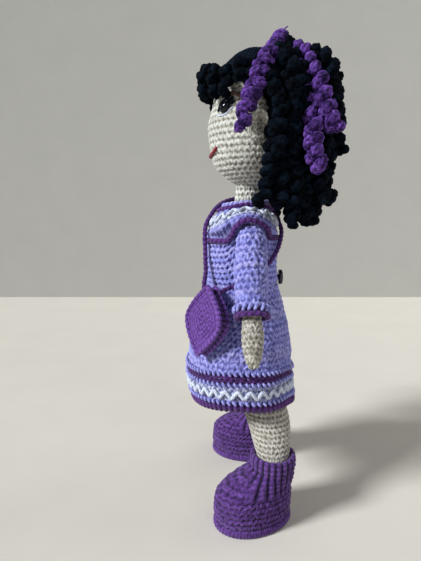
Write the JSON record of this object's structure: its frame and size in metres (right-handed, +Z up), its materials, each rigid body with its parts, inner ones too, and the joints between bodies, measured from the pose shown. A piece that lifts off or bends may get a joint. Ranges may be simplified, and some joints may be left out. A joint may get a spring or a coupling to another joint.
{
  "type": "amigurumi doll",
  "caption": "Standing crocheted doll in a lavender dress with a shoulder bag, curled yarn hair, stuffed limbs and crocheted boots.",
  "frame": {"origin": "on the surface that the doll stands on, under the middle of its outline", "axes": "+Z up along the doll's height; the doll faces -Y, and its left side is +X"},
  "size_m": [0.1732, 0.1402, 0.3938],
  "materials": {
    "skin": "crocheted cotton yarn, matte",
    "stuffing": "polyester fibre fill",
    "lilac": "crocheted variegated cotton yarn, matte",
    "purple": "crocheted cotton yarn, matte",
    "plum": "crocheted curl in cotton yarn, matte",
    "violet": "crocheted cotton yarn, matte",
    "black": "crocheted cotton yarn, matte",
    "brown": "embroidery thread",
    "red": "embroidery thread",
    "card": "cut card",
    "wood": "bare dowel",
    "gloss": "moulded, glossy",
    "plastic": "moulded, plain"
  },
  "bodies": {
    "body": {"torso_skin": "skin", "torso_stuffing": "stuffing", "neck_stiffener": "wood", "left_leg_skin": "skin", "right_leg_skin": "skin", "left_leg_stuffing": "stuffing", "right_leg_stuffing": "stuffing", "left_boot_sole": "purple", "right_boot_sole": "purple", "left_boot_insole": "card", "right_boot_insole": "card", "left_boot_upper": "purple", "right_boot_upper": "purple", "left_boot_stuffing": "stuffing", "right_boot_stuffing": "stuffing", "left_boot_cuff": "purple", "right_boot_cuff": "purple", "dress_bodice": "lilac", "dress_yoke": "lilac", "yoke_seam": "purple", "dress_skirt": "lilac", "skirt_hem": "purple", "skirt_stripe": "purple", "back_button": "black", "bag_strap": "purple"},
    "head": {"head_skin": "skin", "head_stuffing": "stuffing", "left_eye": "gloss", "right_eye": "gloss", "left_eye_washer": "plastic", "right_eye_washer": "plastic", "left_ear": "skin", "right_ear": "skin", "mouth": "red", "left_eyebrow": "brown", "right_eyebrow": "brown", "left_lashes": "black", "right_lashes": "black", "hair_cap": "black", "left_purple_curl_front": "plum", "right_purple_curl_front": "plum", "left_purple_curl_middle": "plum", "right_purple_curl_middle": "plum", "left_purple_curl_back": "plum", "right_purple_curl_back": "plum", "black_curls_outer": "black", "black_curls_inner": "black", "fringe_curls": "black"},
    "left_arm": {"left_arm_skin": "skin", "left_arm_stuffing": "stuffing", "left_sleeve": "lilac", "left_sleeve_cuff": "purple"},
    "right_arm": {"right_arm_skin": "skin", "right_arm_stuffing": "stuffing", "right_sleeve": "lilac", "right_sleeve_cuff": "purple"},
    "bag": {"bag_front_disc": "violet", "bag_back_disc": "violet", "bag_gusset": "purple"}
  },
  "joints": [
    {"name": "head_turn", "type": "hinge", "parent": "body", "child": "head", "pos_m": [0, -0.01409, 0.279], "axis": [0, 0, 1], "range_deg": [-20, 20], "stiffness_Nm_per_rad": 0.12},
    {"name": "left_arm_swing", "type": "hinge", "parent": "body", "child": "left_arm", "pos_m": [0.0395, -0.01659, 0.2375], "axis": [-1, 0, 0], "range_deg": [-40, 55], "stiffness_Nm_per_rad": 0.03},
    {"name": "right_arm_swing", "type": "hinge", "parent": "body", "child": "right_arm", "pos_m": [-0.0395, -0.01659, 0.2375], "axis": [-1, 0, 0], "range_deg": [-40, 55], "stiffness_Nm_per_rad": 0.03},
    {"name": "bag_swing", "type": "hinge", "parent": "body", "child": "bag", "pos_m": [0.03425, -0.04674, 0.1946], "axis": [-0.7069, -0.7069, -0.023], "range_deg": [0, 40]}
  ]
}
